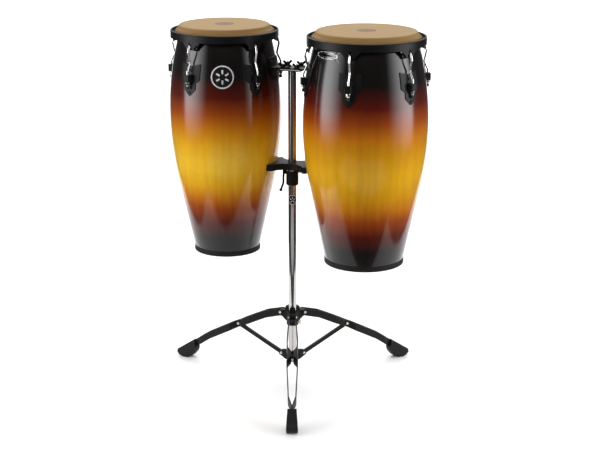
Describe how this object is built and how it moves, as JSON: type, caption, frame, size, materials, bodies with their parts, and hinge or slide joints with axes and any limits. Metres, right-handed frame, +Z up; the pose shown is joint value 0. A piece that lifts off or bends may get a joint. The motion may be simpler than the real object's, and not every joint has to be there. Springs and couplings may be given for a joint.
{
  "type": "conga drums on a stand",
  "caption": "Barrel-shaped hand drums with tunable skins, hung from a plate and cradle on a folding tripod stand.",
  "frame": {"origin": "floor level under the middle of the bounding box", "axes": "+Z up; -Y towards the player, where one tripod leg points; +X towards the larger drum"},
  "size_m": [0.803, 0.6894, 1.132],
  "materials": {
    "chrome": "polished",
    "black_paint": "satin black powder paint",
    "stained_wood": "gloss lacquer, near black at both ends and gold in the middle",
    "skin": "tan drum skin",
    "rubber": "matt black",
    "badge": "gloss black with a silver border",
    "nickel": "nickel plated"
  },
  "bodies": {
    "stand": {"pole": "chrome", "top_plate": "chrome", "plate_fasteners": "nickel", "lower_collar": "black_paint", "lower_rivets": "nickel"},
    "brace_front": {"brace_front": "black_paint"},
    "leg_front": {"leg_front": "black_paint", "foot_front": "rubber", "mid_rivet_front": "nickel"},
    "brace_right": {"brace_right": "black_paint"},
    "leg_right": {"leg_right": "black_paint", "foot_right": "rubber", "mid_rivet_right": "nickel"},
    "brace_left": {"brace_left": "black_paint"},
    "leg_left": {"leg_left": "black_paint", "foot_left": "rubber", "mid_rivet_left": "nickel"},
    "hub": {"hub": "black_paint", "hub_rivets": "nickel"},
    "hub_thumb_screw": {"hub_thumb_screw": "nickel"},
    "cradle": {"cradle": "black_paint", "cradle_pads": "rubber", "clamp_collar": "black_paint", "cradle_fasteners": "nickel"},
    "clamp_lever": {"clamp_lever": "black_paint"},
    "wing_nut_left_front": {"wing_nut_left_front": "black_paint"},
    "wing_nut_left_back": {"wing_nut_left_back": "black_paint"},
    "wing_nut_right_front": {"wing_nut_right_front": "black_paint"},
    "wing_nut_right_back": {"wing_nut_right_back": "black_paint"},
    "drum_left": {"shell_left": "stained_wood", "head_left": "skin", "lugs_left": "black_paint", "shell_screws_left": "black_paint", "hanging_bracket_left": "black_paint", "guard_band_left": "rubber", "badge_left": "badge"},
    "rim_left": {"rim_left": "black_paint", "flesh_hoop_left": "black_paint", "tuning_rods_left": "chrome"},
    "tuning_nut_left_1": {"tuning_nut_left_1": "nickel"},
    "tuning_nut_left_2": {"tuning_nut_left_2": "nickel"},
    "tuning_nut_left_3": {"tuning_nut_left_3": "nickel"},
    "tuning_nut_left_4": {"tuning_nut_left_4": "nickel"},
    "tuning_nut_left_5": {"tuning_nut_left_5": "nickel"},
    "drum_right": {"shell_right": "stained_wood", "head_right": "skin", "lugs_right": "black_paint", "shell_screws_right": "black_paint", "hanging_bracket_right": "black_paint", "guard_band_right": "rubber", "badge_right": "badge"},
    "rim_right": {"rim_right": "black_paint", "flesh_hoop_right": "black_paint", "tuning_rods_right": "chrome"},
    "tuning_nut_right_1": {"tuning_nut_right_1": "nickel"},
    "tuning_nut_right_2": {"tuning_nut_right_2": "nickel"},
    "tuning_nut_right_3": {"tuning_nut_right_3": "nickel"},
    "tuning_nut_right_4": {"tuning_nut_right_4": "nickel"},
    "tuning_nut_right_5": {"tuning_nut_right_5": "nickel"},
    "tuning_nut_right_6": {"tuning_nut_right_6": "nickel"}
  },
  "joints": [
    {"name": "brace_front_fold", "type": "hinge", "parent": "stand", "child": "brace_front", "pos_m": [-0.01426, 0.05281, 0.0836], "axis": [-1, 0, 0], "range_deg": [0, 50]},
    {"name": "leg_front_fold", "type": "hinge", "parent": "brace_front", "child": "leg_front", "pos_m": [-0.01426, -0.10941, 0.15315], "axis": [-1, 0, 0], "range_deg": [-100, 0]},
    {"name": "brace_right_fold", "type": "hinge", "parent": "stand", "child": "brace_right", "pos_m": [0.01995, 0.11206, 0.0836], "axis": [0.5, -0.866, 0], "range_deg": [0, 50]},
    {"name": "leg_right_fold", "type": "hinge", "parent": "brace_right", "child": "leg_right", "pos_m": [0.16043, 0.19317, 0.15315], "axis": [0.5, -0.866, 0], "range_deg": [-100, 0]},
    {"name": "brace_left_fold", "type": "hinge", "parent": "stand", "child": "brace_left", "pos_m": [-0.04847, 0.11206, 0.0836], "axis": [0.5, 0.866, 0], "range_deg": [0, 50]},
    {"name": "leg_left_fold", "type": "hinge", "parent": "brace_left", "child": "leg_left", "pos_m": [-0.18895, 0.19317, 0.15315], "axis": [0.5, 0.866, 0], "range_deg": [-100, 0]},
    {"name": "hub_pivot", "type": "hinge", "parent": "leg_front", "child": "hub", "pos_m": [-0.01426, 0.05281, 0.2227], "axis": [-1, 0, 0], "range_deg": [0, 50]},
    {"name": "hub_thumb_screw_turn", "type": "hinge", "parent": "hub", "child": "hub_thumb_screw", "pos_m": [0.00219, 0.08281, 0.198], "axis": [0.866, -0.5, 0], "continuous": true},
    {"name": "cradle_slide", "type": "slide", "parent": "stand", "child": "cradle", "axis": [0, 0, 1], "range_m": [-0.05, 0]},
    {"name": "clamp_lever_turn", "type": "hinge", "parent": "cradle", "child": "clamp_lever", "pos_m": [-0.03626, 0.11231, 0.679], "axis": [1, 0, 0], "range_deg": [-60, 60]},
    {"name": "wing_nut_left_front_turn", "type": "hinge", "parent": "stand", "child": "wing_nut_left_front", "pos_m": [-0.04198, 0.07818, 1.0155], "axis": [0, 0, 1], "continuous": true},
    {"name": "wing_nut_left_back_turn", "type": "hinge", "parent": "stand", "child": "wing_nut_left_back", "pos_m": [-0.02838, 0.12003, 1.0155], "axis": [0, 0, 1], "continuous": true},
    {"name": "wing_nut_right_front_turn", "type": "hinge", "parent": "stand", "child": "wing_nut_right_front", "pos_m": [-0.00013, 0.06459, 1.0155], "axis": [0, 0, 1], "continuous": true},
    {"name": "wing_nut_right_back_turn", "type": "hinge", "parent": "stand", "child": "wing_nut_right_back", "pos_m": [0.01346, 0.10643, 1.0155], "axis": [0, 0, 1], "continuous": true},
    {"name": "drum_left_slide", "type": "slide", "parent": "stand", "child": "drum_left", "axis": [-0.9511, 0.309, 0], "range_m": [0, 0.12]},
    {"name": "rim_left_tune", "type": "slide", "parent": "drum_left", "child": "rim_left", "axis": [0, 0, -1], "range_m": [0, 0.00375]},
    {"name": "tuning_nut_left_1_turn", "type": "hinge", "parent": "drum_left", "child": "tuning_nut_left_1", "pos_m": [-0.05082, 0.2142, 0.973], "axis": [0, 0, 1], "range_deg": [0, 1080]},
    {"name": "tuning_nut_left_2_turn", "type": "hinge", "parent": "drum_left", "child": "tuning_nut_left_2", "pos_m": [-0.22011, 0.33719, 0.973], "axis": [0, 0, 1], "range_deg": [0, 1080]},
    {"name": "tuning_nut_left_3_turn", "type": "hinge", "parent": "drum_left", "child": "tuning_nut_left_3", "pos_m": [-0.3894, 0.2142, 0.973], "axis": [0, 0, 1], "range_deg": [0, 1080]},
    {"name": "tuning_nut_left_4_turn", "type": "hinge", "parent": "drum_left", "child": "tuning_nut_left_4", "pos_m": [-0.32474, 0.01519, 0.973], "axis": [0, 0, 1], "range_deg": [0, 1080]},
    {"name": "tuning_nut_left_5_turn", "type": "hinge", "parent": "drum_left", "child": "tuning_nut_left_5", "pos_m": [-0.11548, 0.01519, 0.973], "axis": [0, 0, 1], "range_deg": [0, 1080]},
    {"name": "drum_right_slide", "type": "slide", "parent": "stand", "child": "drum_right", "axis": [0.9511, -0.309, 0], "range_m": [0, 0.12]},
    {"name": "rim_right_tune", "type": "slide", "parent": "drum_right", "child": "rim_right", "axis": [0, 0, -1], "range_m": [0, 0.00375]},
    {"name": "tuning_nut_right_1_turn", "type": "hinge", "parent": "drum_right", "child": "tuning_nut_right_1", "pos_m": [0.01894, -0.0189, 0.973], "axis": [0, 0, 1], "range_deg": [0, 1080]},
    {"name": "tuning_nut_right_2_turn", "type": "hinge", "parent": "drum_right", "child": "tuning_nut_right_2", "pos_m": [0.14675, -0.16084, 0.973], "axis": [0, 0, 1], "range_deg": [0, 1080]},
    {"name": "tuning_nut_right_3_turn", "type": "hinge", "parent": "drum_right", "child": "tuning_nut_right_3", "pos_m": [0.33358, -0.12113, 0.973], "axis": [0, 0, 1], "range_deg": [0, 1080]},
    {"name": "tuning_nut_right_4_turn", "type": "hinge", "parent": "drum_right", "child": "tuning_nut_right_4", "pos_m": [0.3926, 0.06053, 0.973], "axis": [0, 0, 1], "range_deg": [0, 1080]},
    {"name": "tuning_nut_right_5_turn", "type": "hinge", "parent": "drum_right", "child": "tuning_nut_right_5", "pos_m": [0.2648, 0.20247, 0.973], "axis": [0, 0, 1], "range_deg": [0, 1080]},
    {"name": "tuning_nut_right_6_turn", "type": "hinge", "parent": "drum_right", "child": "tuning_nut_right_6", "pos_m": [0.07797, 0.16276, 0.973], "axis": [0, 0, 1], "range_deg": [0, 1080]}
  ],
  "couplings": [
    {"joint": "leg_front_fold", "follows": "brace_front_fold", "ratio": -2},
    {"joint": "brace_right_fold", "follows": "brace_front_fold", "ratio": 1},
    {"joint": "leg_right_fold", "follows": "brace_front_fold", "ratio": -2},
    {"joint": "brace_left_fold", "follows": "brace_front_fold", "ratio": 1},
    {"joint": "leg_left_fold", "follows": "brace_front_fold", "ratio": -2},
    {"joint": "hub_pivot", "follows": "brace_front_fold", "ratio": 1},
    {"joint": "tuning_nut_left_1_turn", "follows": "rim_left_tune", "rad_per_m": 5026.5},
    {"joint": "tuning_nut_left_2_turn", "follows": "rim_left_tune", "rad_per_m": 5026.5},
    {"joint": "tuning_nut_left_3_turn", "follows": "rim_left_tune", "rad_per_m": 5026.5},
    {"joint": "tuning_nut_left_4_turn", "follows": "rim_left_tune", "rad_per_m": 5026.5},
    {"joint": "tuning_nut_left_5_turn", "follows": "rim_left_tune", "rad_per_m": 5026.5},
    {"joint": "tuning_nut_right_1_turn", "follows": "rim_right_tune", "rad_per_m": 5026.5},
    {"joint": "tuning_nut_right_2_turn", "follows": "rim_right_tune", "rad_per_m": 5026.5},
    {"joint": "tuning_nut_right_3_turn", "follows": "rim_right_tune", "rad_per_m": 5026.5},
    {"joint": "tuning_nut_right_4_turn", "follows": "rim_right_tune", "rad_per_m": 5026.5},
    {"joint": "tuning_nut_right_5_turn", "follows": "rim_right_tune", "rad_per_m": 5026.5},
    {"joint": "tuning_nut_right_6_turn", "follows": "rim_right_tune", "rad_per_m": 5026.5}
  ]
}
